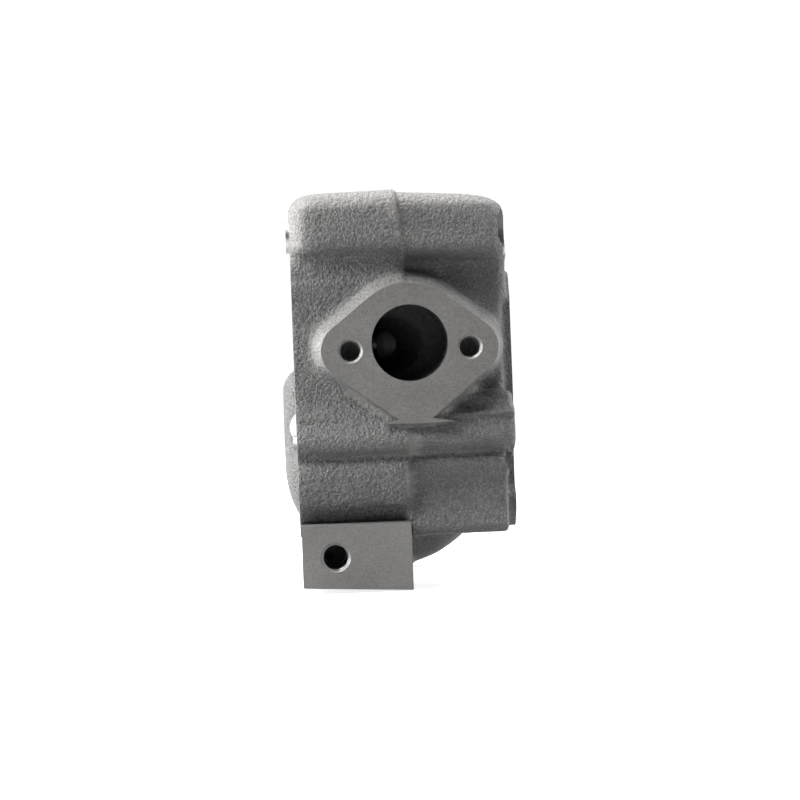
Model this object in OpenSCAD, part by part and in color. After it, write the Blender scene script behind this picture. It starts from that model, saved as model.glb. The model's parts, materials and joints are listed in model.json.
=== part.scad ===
// Cylinder head of a small water-cooled single-cylinder overhead-valve engine.
// Origin: the cylinder axis on the deck face. +X runs from the deck to the rocker cover,
// -Y is the intake side and +Z is up. All sizes are in millimetres.

/* [Casting] */
// Thickness from the deck face to the stud nut faces
body_t = 88; // [86:1:94]
// Height of the rocker cover face above the deck face
cover_x = 92.5; // [92:0.5:96]
// Height of the casting above the cylinder axis
top_z = 64.5; // [62:0.5:68]
// Depth of the pushrod extension below the cylinder axis
bottom_z = 80.5; // [79:0.5:84]
// Front wall of the body, from the cylinder axis
wall_y = 50; // [48:0.5:54]
// Reach of the upper stud box to front and back
box_y = 61; // [60:0.5:63]
// Corner radius of the upper stud box
box_r = 12; // [6:1:14]

/* [Head studs] */
// Half the stud spacing from front to back
stud_y = 46; // [44:0.5:47]
// Half the stud spacing from top to bottom
stud_z = 46; // [44:0.5:47]
// Radius of each stud hole, for M10 studs
stud_r = 5.5; // [5.25:0.25:6]
// Radius of the dowel sleeves around two of the studs
dowel_r = 6.5; // [6.5:0.1:7]
// How far a dowel sleeve stands out of the deck face
dowel_out = 1.5; // [1:0.5:6]

/* [Intake side] */
// Height of the intake port centre above the deck face
intake_x = 48.5; // [46:0.5:50]
// Machined face of the intake flange
intake_y = 62; // [61.5:0.5:64]
// Radius of the intake port
intake_r = 16; // [14:0.5:17]
// Spacing of the two tapped holes beside the port
intake_pitch = 50; // [48:0.5:52]
// How far those holes sit below the port centre
intake_drop = 2.5; // [0:0.5:3]
// Width of the bracket pad
pad_w = 45.8; // [40:0.2:50]
// Machined face of the bracket pad
pad_y = 64; // [63:0.5:66]
// Distance of the pad hole from the deck face
pad_hole_x = 14.2; // [12:0.2:30]
// Distance of the pad hole below the cylinder axis
pad_hole_z = 88.1; // [86:0.1:90]

/* [Exhaust side] */
// Height of the exhaust port centre above the deck face
exhaust_x = 44; // [42:0.5:46]
// Height of the exhaust port centre above the cylinder axis
exhaust_z = 24; // [22:0.5:26]
// Machined face of the exhaust flange
exhaust_y = 72; // [70:0.5:74]
// Radius of the exhaust port
exhaust_r = 14; // [12:0.5:15]
// Spacing of the two exhaust studs
exhaust_pitch = 56; // [54:0.5:60]
// Outer radius of the round water housing
housing_r = 48; // [46:0.5:49]
// Machined face of the water housing
housing_y = 84; // [82:0.5:90]
// Radius of the water outlet
outlet_r = 22; // [18:0.5:24]
// Bolt circle of the water outlet
outlet_pcd = 70; // [66:1:74]

/* [Valves] */
// Half the spacing of the two valves
valve_y = 21; // [20.5:0.25:22]
// Radius of the intake valve head
intake_head_r = 18.5; // [17.5:0.25:18.75]
// Radius of the exhaust valve head
exhaust_head_r = 16; // [15:0.25:16.5]
// Radius of both valve stems
stem_r = 4; // [3.9:0.05:4.1]
// Running clearance of a stem in its guide, on the radius
stem_gap = 0.04; // [0.02:0.01:0.08]
// Full travel of a valve from its seat
lift = 8; // [6:0.5:8]

/* [Hidden] */
$fn = 48;
column_r = 11;                        // iron left around each stud hole
jacket_low = 12;
jacket_high = 44;
core_floor_z = 50;
pushrod_top = -60;
pushrod_bottom = -71;
pushrod_half = 20;
transfer_y = 16;
transfer_z = 49;
transfer_r = 4;
transfer_depth = 13;
pedestal_half = 21;
pedestal_top = -30;
pedestal_bottom = -46;
pedestal_t = 10;
rocker_bolt_y = 14;
exhaust_stud_in = 16;
intake_tap = 12;                       // depth of the two holes beside the intake port
exhaust_stud_out = 24;
m6_drill_r = 2.5;
m8_drill_r = 3.4;
m8_r = 4;
m10_drill_r = 4.25;
m12_drill_r = 5.1;
foot_drop = 2.3;                      // the foot slopes by this much across the pad's width
foot_high = -100.3;
foot_low = foot_high - foot_drop;
pad_x = 0.4;
pad_top = -74.6;
pad_back = -26;
floor_x = 52;                         // floor of the rocker chamber, where the springs sit
chamber_half_wide = 37;
chamber_half_narrow = 28;
chamber_top = 18;
chamber_step = -24;
chamber_bottom = -73;
rim_t = 7;
cover_screw_y = 34;
cover_screw_top = 24;
cover_screw_bottom = -69;
swirl_z = 35;
swirl_x = 18.5;
swirl_r = 9.5;
insert_r = 11;
insert_t = 14;
injector_r = 9.5;
injector_floor = 34;
clamp_y = 20;
plug_r = 11;
plug_x = 28;
plug_y = 24;
seat_face = 1.2;                      // the seat rings lie this far below the deck face
seat_top = 9;
valve_face = 0.8;
margin_t = 1.5;
seat_gap = 0.14;                      // measured across a 45 degree face, so 0.1 square to it
tip_x = 90.5;
guide_r = 6.5;
guide_bottom = 36;
guide_top = 62;
washer_t = 2;
washer_r = 15.3;
retainer_outer_x = 83.5;              // the outer spring ends here
retainer_inner_x = 81.5;              // the inner spring ends here
retainer_top = 88.5;
collet_low_r = 6.2;
collet_high_r = 7.6;
groove_low = 84;
groove_high = 86;
groove_r = 3.3;
outer_wire = 1.7;
outer_mean = 12.9;
outer_turns = 5.5;
inner_wire = 1.1;
inner_mean = 9.6;
inner_turns = 7;
coil_gap = 0.15;
gallery_x = 72;
gallery_z = -64;
gallery_r = 3;
gallery_plug_r = 5;
housing_x = 42.4;
housing_z = foot_low + 0.2 + housing_r;
housing_front = 61;
housing_wall = 6;
housing_top = -8;
housing_bore_r = 30;
side_hole_x = 5.4;                    // clear hole in the housing's deck-side edge
side_hole_z = -36.6;
side_hole_r = 8.5;

// ---------- placing shapes ----------

// A flat outline in (Y, Z), as a slab from x0 to x1
module along_x(x0, x1)
    translate([x0, 0, 0])
        rotate([90, 0, 90])
            linear_extrude(x1 - x0)
                children();

// A flat outline in (X, Z), as a slab from y0 to y1
module along_y(y0, y1)
    translate([0, y1, 0])
        rotate([90, 0, 0])
            linear_extrude(y1 - y0)
                children();

// A round bar along X
module bar_x(x0, x1, y, z, r)
    translate([x0, y, z])
        rotate([0, 90, 0])
            cylinder(h = x1 - x0, r = r);

// A round bar along Y
module bar_y(y0, y1, x, z, r)
    translate([x, y0, z])
        rotate([-90, 0, 0])
            cylinder(h = y1 - y0, r = r);

// A round bar between any two points
module rod(p, q, r) {
    d = q - p;
    translate(p)
        rotate([0, acos(d[2] / norm(d)), atan2(d[1], d[0])])
            cylinder(h = norm(d), r = r);
}

// An outline in (radius, height) turned about a valve axis, with its height along X
module on_valve(y)
    translate([0, y, 0])
        rotate([0, 90, 0])
            rotate_extrude()
                children();

// A rectangle from one corner to another, with true arcs at its corners
module rounded(low, high, r) {
    translate([low[0] + r, low[1]])
        square([high[0] - low[0] - 2 * r, high[1] - low[1]]);
    translate([low[0], low[1] + r])
        square([high[0] - low[0], high[1] - low[1] - 2 * r]);
    for (x = [low[0] + r, high[0] - r], y = [low[1] + r, high[1] - r])
        translate([x, y])
            circle(r);
}

// Two circles and the band between their outer tangents
module lobe(a, ra, b, rb) {
    d = b - a;
    base = atan2(d[1], d[0]);
    spread = acos((ra - rb) / norm(d));
    up = [cos(base + spread), sin(base + spread)];
    down = [cos(base - spread), sin(base - spread)];
    translate(a) circle(ra);
    translate(b) circle(rb);
    polygon([a + ra * up, b + rb * up, b + rb * down, a + ra * down]);
}

// ---------- the casting ----------

// Front-to-back section of the body, the same all through its thickness
module body_section() {
    translate([-wall_y, -56])
        square([2 * wall_y + 4, 56 + top_z - 8]);
    rounded([-box_y, 32], [box_y, top_z], box_r);
    rounded([-56, -bottom_z], [wall_y, -48], 3);
    translate([-49, -43])
        circle(14.5);
    translate([stud_y, -stud_z])
        circle(15);
}

// Diamond flange with a lobe around each of its two holes
module flange_section(centre, middle_r, pitch, drop, lobe_r)
    for (side = [-1, 1])
        lobe(centre, middle_r, centre + [side * pitch / 2, -drop], lobe_r);

module intake_flange()
    along_y(-intake_y, -wall_y + 2) {
        flange_section([intake_x, 0], 25.4, intake_pitch, intake_drop, 12);
        polygon([[26, -14], [intake_x - 8, -33], [intake_x + 8, -33], [73, -14]]);
    }

module bracket_pad()
    along_y(-pad_y, pad_back)
        polygon([
            [pad_x, pad_top], [pad_x + pad_w, pad_top],
            [pad_x + pad_w, foot_low], [pad_x, foot_high],
        ]);

// Round-bottomed water housing behind the stud columns, with a flat foot under it
module water_housing() {
    along_y(housing_front, housing_y) {
        translate([housing_x, housing_z])
            circle(housing_r);
        rounded(
            [housing_x - housing_r, housing_z - 20],
            [housing_x + housing_r, housing_top], 12
        );
        polygon([
            [24, housing_z], [52, housing_z], [52, foot_low - 0.3], [24, foot_low + 1.1],
        ]);
    }
    along_y(wall_y, housing_front + 1)
        rounded([3, -62], [body_t - 2, housing_top - 2], 4);
}

module exhaust_flange()
    along_y(wall_y, exhaust_y)
        flange_section([exhaust_x, exhaust_z], 23, exhaust_pitch, 0, 11);

// Rim of the rocker chamber, that the cover seals on
module cover_rim()
    along_x(floor_x, cover_x) {
        rounded(
            [-chamber_half_wide - rim_t, chamber_step - rim_t],
            [chamber_half_wide + rim_t, chamber_top + rim_t], 9
        );
        rounded(
            [-chamber_half_narrow - rim_t, chamber_bottom - rim_t],
            [chamber_half_narrow + rim_t, chamber_step], 6
        );
        for (y = [-cover_screw_y, cover_screw_y], z = [cover_screw_bottom, cover_screw_top])
            translate([y, z])
                circle(6.5);
    }

module rocker_chamber()
    along_x(floor_x, cover_x + 1) {
        rounded([-chamber_half_wide, chamber_step], [chamber_half_wide, chamber_top], 7);
        rounded([-chamber_half_narrow, chamber_bottom], [chamber_half_narrow, chamber_step + 8], 5);
    }

// Pedestal for the rocker shaft, on the chamber floor
module rocker_pedestal()
    along_x(floor_x - 1, floor_x + pedestal_t)
        rounded([-pedestal_half, pedestal_bottom], [pedestal_half, pedestal_top], 5);

// Intake passage, grown by a wall thickness where the jacket has to go round it
module intake_passage(wall) {
    bar_y(-intake_y - 1, -44, intake_x, 0, intake_r + wall);
    rod([46, -52, 0], [23, -17, 0], 12 + wall);
    bar_x(seat_face, 34, -valve_y, 0, 14.5 + wall);
}

// Exhaust passage, grown in the same way
module exhaust_passage(wall) {
    bar_y(54, exhaust_y + 1, exhaust_x, exhaust_z, exhaust_r + wall);
    rod([24, valve_y, 0], [exhaust_x, 60, exhaust_z], 13 + wall);
    bar_x(seat_face, 32, valve_y, 0, 12.2 + wall);
}

// Water space: above and below the ports, joined between the valves and to the housing
module water_jacket()
    difference() {
        union() {
            along_x(jacket_low, jacket_high)
                rounded([-38, 16], [38, 54], 6);
            along_x(jacket_low, jacket_high)
                rounded([-36, -54], [40, -22], 6);
            along_x(13, 30)
                translate([-2, -30])
                    square([6.5, 60]);
            along_y(36, housing_front + housing_wall + 1)
                rounded([18, -33], [46, -21], 4);
            along_y(housing_front + housing_wall, housing_y - housing_wall)
                translate([housing_x, housing_z])
                    circle(housing_bore_r);
        }
        for (y = [-stud_y, stud_y], z = [-stud_z, stud_z])
            bar_x(0, body_t, y, z, column_r);
        bar_x(0, body_t, 0, swirl_z, 14.5);
        intake_passage(4.5);
        exhaust_passage(4.5);
    }

// Pockets machined for the two seat rings and the two valve guides
module valve_pockets()
    for (v = [[-valve_y, intake_head_r + 2], [valve_y, exhaust_head_r + 2]]) {
        bar_x(-1, seat_top, v[0], 0, v[1]);
        bar_x(seat_top, floor_x + 1, v[0], 0, guide_r);
    }

module combustion_recess() {
    bar_x(-1, insert_t, 0, swirl_z, insert_r);
    translate([swirl_x, 0, swirl_z])
        sphere(swirl_r);
    bar_x(swirl_x, injector_floor + 1, 0, swirl_z, 4);
    bar_x(injector_floor, body_t + 1, 0, swirl_z, injector_r);
}

module stud_holes() {
    for (y = [-stud_y, stud_y], z = [-stud_z, stud_z])
        bar_x(-1, cover_x + 1, y, z, stud_r);
    for (s = [-1, 1])
        bar_x(-1, 7, s * stud_y, -s * stud_z, dowel_r);
}

module tapped_holes() {
    for (s = [-1, 1]) {
        bar_y(-intake_y - 1, -intake_y + intake_tap, intake_x + s * intake_pitch / 2, -intake_drop, m10_drill_r);
        bar_y(exhaust_y - exhaust_stud_in, exhaust_y + 1, exhaust_x + s * exhaust_pitch / 2, exhaust_z, m8_r);
        bar_x(body_t - 18, body_t + 1, s * clamp_y, swirl_z, m8_drill_r);
        bar_x(
            floor_x - 6, floor_x + pedestal_t + 2,
            s * rocker_bolt_y, (pedestal_top + pedestal_bottom) / 2, m8_drill_r
        );
        for (z = [cover_screw_bottom, cover_screw_top])
            bar_x(cover_x - 14, cover_x + 1, s * cover_screw_y, z, m6_drill_r);
    }
    bar_y(-pad_y - 1, -pad_y + 24, pad_hole_x, -pad_hole_z, m12_drill_r);
    for (a = [45 : 90 : 315])
        bar_y(
            housing_y - 5, housing_y + 1,
            housing_x + outlet_pcd / 2 * cos(a), housing_z + outlet_pcd / 2 * sin(a), m8_drill_r
        );
}

module head_casting()
    color("dimgray")
        difference() {
            union() {
                difference() {
                    union() {
                        along_x(0, body_t)
                            body_section();
                        cover_rim();
                        intake_flange();
                        bracket_pad();
                        exhaust_flange();
                        water_housing();
                        for (y = [-stud_y, stud_y])
                            bar_x(body_t - 1, cover_x - 0.5, y, -stud_z, column_r);
                    }
                    rocker_chamber();
                }
                rocker_pedestal();
            }
            water_jacket();
            intake_passage(0);
            exhaust_passage(0);
            valve_pockets();
            combustion_recess();
            stud_holes();
            tapped_holes();
            // pushrod tunnel, from the deck face into the chamber
            along_x(-1, floor_x + 1)
                rounded([-pushrod_half, pushrod_bottom], [pushrod_half, pushrod_top], 5);
            // water transfer holes in the deck
            for (y = [-transfer_y, transfer_y], z = [-transfer_z, transfer_z])
                bar_x(-1, transfer_depth, y, z, transfer_r);
            // core holes in the top, closed by the cup plugs
            for (y = [-plug_y, plug_y])
                translate([plug_x, y, core_floor_z])
                    cylinder(h = top_z - core_floor_z + 1, r = plug_r);
            // oil gallery and its plug seat
            bar_y(10, wall_y + 13, gallery_x, gallery_z, gallery_r);
            bar_y(wall_y - 8, wall_y + 13, gallery_x, gallery_z, gallery_plug_r);
            // water outlet, and the clear hole beside it
            bar_y(housing_front - 1, housing_y + 1, side_hole_x, side_hole_z, side_hole_r);
            bar_y(housing_y - housing_wall - 1, housing_y + 1, housing_x, housing_z, outlet_r);
        }

// ---------- valve gear ----------

// Poppet valve: face, 45 degree seat, tulip, stem with its collet groove, and tip
module valve(y, head_r)
    on_valve(y) {
        seat_low = valve_face + margin_t;
        polygon(concat(
            [[0, valve_face], [head_r - 0.4, valve_face], [head_r, valve_face + 0.4], [head_r, seat_low]],
            [[head_r - 3, seat_low + 3]],
            [for (a = [10 : 10 : 80])
                [stem_r + (head_r - 5 - stem_r) * (1 - sin(a)), seat_low + 4 + 11 * (1 - cos(a))]],
            [[stem_r, seat_low + 16], [stem_r, groove_low], [groove_r, groove_low + 0.4]],
            [[groove_r, groove_high - 0.4], [stem_r, groove_high], [stem_r, tip_x - 0.5]],
            [[stem_r - 0.5, tip_x], [0, tip_x]]
        ));
    }

// Seat ring, with its 45 degree face just clear of the closed valve
module valve_seat(y, head_r) {
    line = head_r + valve_face + margin_t + seat_gap;
    throat = head_r - 4;
    on_valve(y)
        polygon([
            [line - seat_face, seat_face], [head_r + 2, seat_face], [head_r + 2, seat_top],
            [throat, seat_top], [throat, line - throat],
        ]);
}

module valve_guide(y)
    on_valve(y)
        polygon([
            [stem_r + stem_gap, guide_bottom], [guide_r - 1.2, guide_bottom],
            [guide_r, guide_bottom + 3], [guide_r, guide_top - 1],
            [guide_r - 1, guide_top], [stem_r + stem_gap, guide_top],
        ]);

// Seal that caps the guide, with a lip close to the stem
module stem_seal(y)
    on_valve(y)
        polygon([
            [guide_r, guide_top - 5], [guide_r + 1.5, guide_top - 5], [guide_r + 1.5, guide_top + 1],
            [guide_r - 0.4, guide_top + 4], [stem_r + 0.06, guide_top + 4],
            [stem_r + 0.06, guide_top + 0.6], [guide_r, guide_top + 0.6],
        ]);

// Hard washer under the springs, with a low lip round the outer spring
module spring_seat(y)
    on_valve(y)
        polygon([
            [guide_r + 0.2, floor_x], [washer_r, floor_x], [washer_r, floor_x + washer_t + 1.4],
            [washer_r - 0.5, floor_x + washer_t + 1.4], [washer_r - 0.5, floor_x + washer_t],
            [guide_r + 0.2, floor_x + washer_t],
        ]);

// Compression spring with closed ends, swept as rings along its helix
module spring(y, high, wire, mean, turns) {
    low = floor_x + washer_t;
    sides = 8;
    steps = 20;
    rings = turns * steps;
    closed = 2 * wire * 1.08;
    free = high - low - 2 * coil_gap - 2 * wire - 2 * closed;
    function rise(t) =
        t < 1 ? closed * t :
        t > turns - 1 ? closed * (t - turns + 2) + free :
        closed + free * (t - 1) / (turns - 2);
    points = [
        for (i = [0 : rings], k = [0 : sides - 1])
            let (a = 360 * i / steps, b = 360 * k / sides, r = mean + wire * cos(b))
                [r * cos(a), r * sin(a), low + coil_gap + wire + rise(i / steps) + wire * sin(b)]
    ];
    walls = [
        for (i = [0 : rings - 1], k = [0 : sides - 1])
            let (a = i * sides, b = a + sides, n = (k + 1) % sides)
                [a + k, a + n, b + n, b + k]
    ];
    ends = [
        [for (k = [sides - 1 : -1 : 0]) k],
        [for (k = [0 : sides - 1]) rings * sides + k],
    ];
    translate([0, y, 0])
        rotate([0, 90, 0])
            polyhedron(points, concat(walls, ends));
}

module outer_spring(y)
    color("slategray") spring(y, retainer_outer_x, outer_wire, outer_mean, outer_turns);

module inner_spring(y)
    color("lightslategray") spring(y, retainer_inner_x, inner_wire, inner_mean, inner_turns);

// Spring retainer, with a step for each spring and a tapered hole for the collets
module retainer(y)
    on_valve(y)
        polygon([
            [collet_low_r, retainer_inner_x], [10.8, retainer_inner_x], [10.8, retainer_outer_x],
            [14.8, retainer_outer_x], [14.8, retainer_outer_x + 2], [10.5, retainer_outer_x + 3],
            [9.8, retainer_top], [collet_high_r, retainer_top],
        ]);

// Split taper collets that grip the stem groove
module collets(y)
    difference() {
        on_valve(y)
            polygon([
                [stem_r, retainer_inner_x], [collet_low_r, retainer_inner_x],
                [collet_high_r, retainer_top], [stem_r, retainer_top], [stem_r, groove_high],
                [groove_r, groove_high - 0.4], [groove_r, groove_low + 0.4], [stem_r, groove_low],
            ]);
        translate([retainer_inner_x - 1, y - 0.4, -10])
            cube([retainer_top - retainer_inner_x + 2, 0.8, 20]);
    }

// Hardened cap over the valve tip
module stem_cap(y)
    on_valve(y)
        polygon([
            [0, tip_x], [stem_r, tip_x], [stem_r, retainer_top + 0.5], [stem_r + 1.3, retainer_top + 0.5],
            [stem_r + 1.3, tip_x + 1], [stem_r + 0.8, tip_x + 1.5], [0, tip_x + 1.5],
        ]);

// ---------- small fixed pieces ----------

// Lower half of the swirl chamber, with a slanting throat into the cylinder
module swirl_chamber_insert()
    color("silver")
        difference() {
            bar_x(0, insert_t, 0, swirl_z, insert_r);
            translate([swirl_x, 0, swirl_z])
                sphere(swirl_r);
            for (y = [-2.5, 2.5])
                rod([-4, y, swirl_z - 12], [16, y, swirl_z + 2], 2.6);
        }

// Cup plugs pressed into the core holes in the top
module jacket_core_plugs()
    color("darkgoldenrod")
        for (y = [-plug_y, plug_y])
            translate([plug_x, y, top_z - 8])
                difference() {
                    cylinder(h = 7, r = plug_r);
                    translate([0, 0, 1.6])
                        cylinder(h = 7, r = plug_r - 1.6);
                }

module deck_dowels()
    color("lightgray")
        for (s = [-1, 1])
            difference() {
                bar_x(-dowel_out, 7, s * stud_y, -s * stud_z, dowel_r);
                bar_x(-dowel_out - 1, 8, s * stud_y, -s * stud_z, stud_r - 0.4);
            }

// Threaded plug with a hexagon socket, at the end of the oil gallery
module oil_gallery_plug()
    color("gray")
        difference() {
            bar_y(wall_y - 8, wall_y + 1, gallery_x, gallery_z, gallery_plug_r);
            translate([gallery_x, wall_y - 4, gallery_z])
                rotate([-90, 0, 0])
                    cylinder(h = 6, r = 2.9, $fn = 6);
        }

module exhaust_studs()
    color("gray")
        for (x = [exhaust_x - exhaust_pitch / 2, exhaust_x + exhaust_pitch / 2]) {
            bar_y(exhaust_y - exhaust_stud_in, exhaust_y + 0.3, x, exhaust_z, m8_r - 0.1);
            bar_y(exhaust_y + 0.3, exhaust_y + exhaust_stud_out, x, exhaust_z, m8_r - 0.03);
        }

// ---------- nodes ----------

head_casting();
color("silver") valve(-valve_y, intake_head_r);  // intake_valve
color("silver") valve(valve_y, exhaust_head_r);  // exhaust_valve
color("gray") valve_seat(-valve_y, intake_head_r);  // intake_valve_seat
color("gray") valve_seat(valve_y, exhaust_head_r);  // exhaust_valve_seat
color("darkgray") valve_guide(-valve_y);  // intake_valve_guide
color("darkgray") valve_guide(valve_y);  // exhaust_valve_guide
color("darkgreen") stem_seal(-valve_y);  // intake_stem_seal
color("darkgreen") stem_seal(valve_y);  // exhaust_stem_seal
color("gray") spring_seat(-valve_y);  // intake_spring_seat
color("gray") spring_seat(valve_y);  // exhaust_spring_seat
outer_spring(-valve_y);  // intake_outer_spring
outer_spring(valve_y);  // exhaust_outer_spring
inner_spring(-valve_y);  // intake_inner_spring
inner_spring(valve_y);  // exhaust_inner_spring
color("dimgray") retainer(-valve_y);  // intake_retainer
color("dimgray") retainer(valve_y);  // exhaust_retainer
color("silver") collets(-valve_y);  // intake_collets
color("silver") collets(valve_y);  // exhaust_collets
color("silver") stem_cap(-valve_y);  // intake_stem_cap
color("silver") stem_cap(valve_y);  // exhaust_stem_cap
swirl_chamber_insert();
jacket_core_plugs();
deck_dowels();
oil_gallery_plug();
exhaust_studs();
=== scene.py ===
"""Looks of a small engine's cast-iron cylinder head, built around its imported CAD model.

The casting is rebuilt as a sand casting would be made: rough shapes are joined and smoothed into
one skin, tapered both ways from the parting line, given a sand grain, and only then machined. All
lengths that build it are in millimetres, in the CAD frame: +X from the deck face to the rocker
cover, -Y the intake side, +Z up.
"""

import json
import math

import bmesh
import bpy
import numpy as np
from mathutils import Matrix, Vector, noise


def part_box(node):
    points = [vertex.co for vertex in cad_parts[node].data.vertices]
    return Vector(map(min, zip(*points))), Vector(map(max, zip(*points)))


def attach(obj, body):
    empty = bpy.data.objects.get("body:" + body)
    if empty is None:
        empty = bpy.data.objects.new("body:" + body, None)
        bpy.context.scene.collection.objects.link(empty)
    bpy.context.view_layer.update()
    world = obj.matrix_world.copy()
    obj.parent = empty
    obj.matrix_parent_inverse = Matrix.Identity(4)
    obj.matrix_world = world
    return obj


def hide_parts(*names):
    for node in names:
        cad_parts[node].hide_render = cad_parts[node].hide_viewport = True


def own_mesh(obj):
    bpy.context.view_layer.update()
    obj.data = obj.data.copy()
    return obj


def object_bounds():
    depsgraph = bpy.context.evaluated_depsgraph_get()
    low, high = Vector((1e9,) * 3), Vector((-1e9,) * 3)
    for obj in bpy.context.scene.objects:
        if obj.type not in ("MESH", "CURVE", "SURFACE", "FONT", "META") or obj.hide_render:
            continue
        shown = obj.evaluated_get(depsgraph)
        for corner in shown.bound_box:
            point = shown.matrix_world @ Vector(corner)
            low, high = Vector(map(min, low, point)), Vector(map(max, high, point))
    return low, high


MM = 0.001
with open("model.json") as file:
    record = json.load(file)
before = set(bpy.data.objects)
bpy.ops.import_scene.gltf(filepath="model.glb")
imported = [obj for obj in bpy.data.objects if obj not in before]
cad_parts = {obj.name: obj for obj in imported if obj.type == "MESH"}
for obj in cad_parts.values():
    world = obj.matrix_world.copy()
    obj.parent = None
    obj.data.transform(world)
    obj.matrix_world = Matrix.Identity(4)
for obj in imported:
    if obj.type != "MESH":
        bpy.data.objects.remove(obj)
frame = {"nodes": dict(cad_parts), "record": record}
cad_bounds = [list(corner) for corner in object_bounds()]


def low_high(node):
    """A CAD node's corners, in millimetres."""
    low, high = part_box(node)
    return low / MM, high / MM


# ---------- sizes, in millimetres ----------

CAST_LOW, CAST_HIGH = low_high("head_casting")
INTAKE_VALVE_LOW, INTAKE_VALVE_HIGH = low_high("intake_valve")

FOOT_Z = CAST_LOW.z + 0.3
COVER_X = CAST_HIGH.x
BODY_T = COVER_X - 4.5
HOUSING_Y = CAST_HIGH.y
PAD_Y = CAST_LOW.y
TOP_Z = CAST_HIGH.z

PARTING_X = 47.0
DRAFT_DECK = math.tan(math.radians(1.2))
DRAFT_COVER = math.tan(math.radians(3.2))
PARTING_STEP = 0.9
VOXEL = 0.85

INTAKE_X, INTAKE_Y, INTAKE_R = 48.5, PAD_Y + 2, 16.0
INTAKE_PITCH, INTAKE_DROP = 50.0, 2.5
MILL_END_Z = -33.2
EXHAUST_X, EXHAUST_Y, EXHAUST_Z, EXHAUST_R = 44.0, 72.0, 24.0, 14.0
EXHAUST_PITCH = 56.0
PAD_LEFT, PAD_RIGHT, PAD_TOP = 0.4, 46.2, -74.6
PAD_HOLE_X, PAD_HOLE_Z = 14.2, -88.1
STUD_Y, STUD_Z, STUD_R = 46.0, 46.0, 5.5
VALVE_Y = -(INTAKE_VALVE_LOW.y + INTAKE_VALVE_HIGH.y) / 2
HOUSING_X, HOUSING_R, HOUSING_FRONT = 42.4, 48.0, 61.0
HOUSING_Z = FOOT_Z + 0.2 + HOUSING_R
HOUSING_TOP = -8.0
SIDE_HOLE_X, SIDE_HOLE_Z = 5.4, -36.6
FLOOR_X = 52.0
SWIRL_Z = 35.0
PEDESTAL_X = FLOOR_X + 10
ROCKER_BOLT_Y, ROCKER_BOLT_Z = 14, -38
CLAMP_Y = 20
COVER_SCREW_Y, COVER_SCREWS_Z = 34, (-69, 24)
TRANSFER_Y, TRANSFERS_Z = 16, (-49, 49)
CORE_PLUG_X, CORE_PLUG_Y, CORE_PLUG_R = 28, 24, 11
OUTLET_R, OUTLET_SCREWS_R = 22, 35
GALLERY_X, GALLERY_Z = 72, -64

# thread sizes: drilled radius, outer radius and pitch
M6 = (2.5, 3.0, 1.0)
M8 = (3.4, 4.0, 1.25)
M10 = (4.25, 5.0, 1.5)
M12 = (5.1, 6.0, 1.75)


# ---------- outlines ----------


def arc(centre, radius, start, end, steps=8):
    """Points on an arc, from one angle to another in degrees."""
    angles = np.radians(np.linspace(start, end, steps + 1))
    return [(centre[0] + radius * math.cos(a), centre[1] + radius * math.sin(a)) for a in angles]


def circle(centre, radius, steps=48):
    return arc(centre, radius, 0, 360, steps)[:-1]


def rounded(low, high, r, steps=6):
    """A rectangle with rounded corners."""
    (x0, y0), (x1, y1) = low, high
    return (
        arc((x1 - r, y0 + r), r, -90, 0, steps)
        + arc((x1 - r, y1 - r), r, 0, 90, steps)
        + arc((x0 + r, y1 - r), r, 90, 180, steps)
        + arc((x0 + r, y0 + r), r, 180, 270, steps)
    )


def wrapped(discs, grow=0.0, steps=96):
    """The outline of a string pulled tight round some discs, each (x, y, radius)."""
    points = []
    for i in range(steps):
        a = 2 * math.pi * i / steps
        n = (math.cos(a), math.sin(a))
        x, y, r = max(discs, key=lambda d: d[0] * n[0] + d[1] * n[1] + d[2])
        points.append((x + (r + grow) * n[0], y + (r + grow) * n[1]))
    return points


# ---------- solids ----------


def mesh_object(name, bm):
    bmesh.ops.recalc_face_normals(bm, faces=bm.faces)
    mesh = bpy.data.meshes.new(name)
    bm.to_mesh(mesh)
    bm.free()
    obj = bpy.data.objects.new(name, mesh)
    bpy.context.scene.collection.objects.link(obj)
    return obj


def add_loft(bm, sections):
    """A closed solid through sections, each a list of as many 3-D points."""
    rings = [[bm.verts.new(p) for p in section] for section in sections]
    for a, b in zip(rings, rings[1:]):
        for i in range(len(a)):
            j = (i + 1) % len(a)
            bm.faces.new((a[i], a[j], b[j], b[i]))
    bm.faces.new(rings[0][::-1])
    bm.faces.new(rings[-1])


def add_x(bm, outline, x0, x1):
    """An outline in (Y, Z) as a slab from x0 to x1."""
    add_loft(bm, [[(x, u, v) for u, v in outline] for x in (x0, x1)])


def add_y(bm, outline, y0, y1, far=None):
    """An outline in (X, Z) as a slab from y0 to y1, where it may have another outline."""
    ends = ((y0, outline), (y1, far or outline))
    add_loft(bm, [[(u, y, v) for u, v in points] for y, points in ends])


def frame_along(direction):
    """Two directions square to one, as a circle's own axes."""
    d = Vector(direction).normalized()
    side = d.orthogonal().normalized()
    return d, side, d.cross(side)


def add_rod(bm, start, end, r0, r1=None, steps=48):
    """A round bar, or a cone, between two points."""
    d, a, b = frame_along(Vector(end) - Vector(start))
    rings = []
    for centre, r in ((start, r0), (end, r0 if r1 is None else r1)):
        turn = [2 * math.pi * i / steps for i in range(steps)]
        rings.append([Vector(centre) + r * (math.cos(t) * a + math.sin(t) * b) for t in turn])
    add_loft(bm, rings)


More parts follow.
